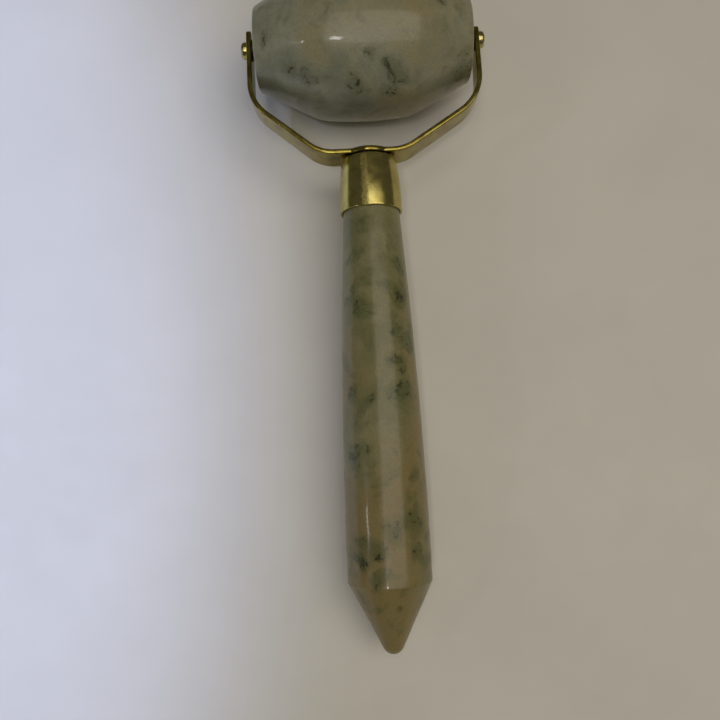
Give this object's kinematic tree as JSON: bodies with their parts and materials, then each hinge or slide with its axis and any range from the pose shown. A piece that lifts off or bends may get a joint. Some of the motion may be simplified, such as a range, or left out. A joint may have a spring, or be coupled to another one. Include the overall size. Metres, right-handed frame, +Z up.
{
  "type": "face roller",
  "caption": "Hand-held massage roller: a barrel-shaped stone spins on two short pins in a bent brass fork, on a tapered stone handle with a blunt point.",
  "frame": {"origin": "the point where the roller's middle touches the surface that the part lies on", "axes": "+Z up from that surface, +X along the roller's axle to the right, and the handle runs towards -Y, dipping by about 3.6 degrees until the edge where its point begins touches the surface too"},
  "size_m": [0.0552, 0.15, 0.033],
  "materials": {
    "jade_roller": "polished grey-green jade with darker flecks",
    "jade_handle": "polished olive-tan jade with green-black veins",
    "brass": "polished, lightly tarnished",
    "brass_hardware": "polished",
    "washer": "dark nylon",
    "bush": "pale moulded nylon",
    "adhesive": "cured resin"
  },
  "bodies": {
    "frame": {"fork": "brass", "hub_rivet": "brass_hardware", "rivet_burr": "brass_hardware", "ferrule": "brass", "handle_adhesive": "adhesive", "handle_stone": "jade_handle", "axle_pin_left": "brass_hardware", "axle_pin_right": "brass_hardware", "washer_left": "washer", "washer_right": "washer"},
    "roller": {"roller_stone": "jade_roller", "bush_left": "bush", "bush_right": "bush"}
  },
  "joints": [
    {"name": "roller_spin", "type": "hinge", "parent": "frame", "child": "roller", "pos_m": [0, 0, 0.0165], "axis": [1, 0, 0], "continuous": true}
  ]
}
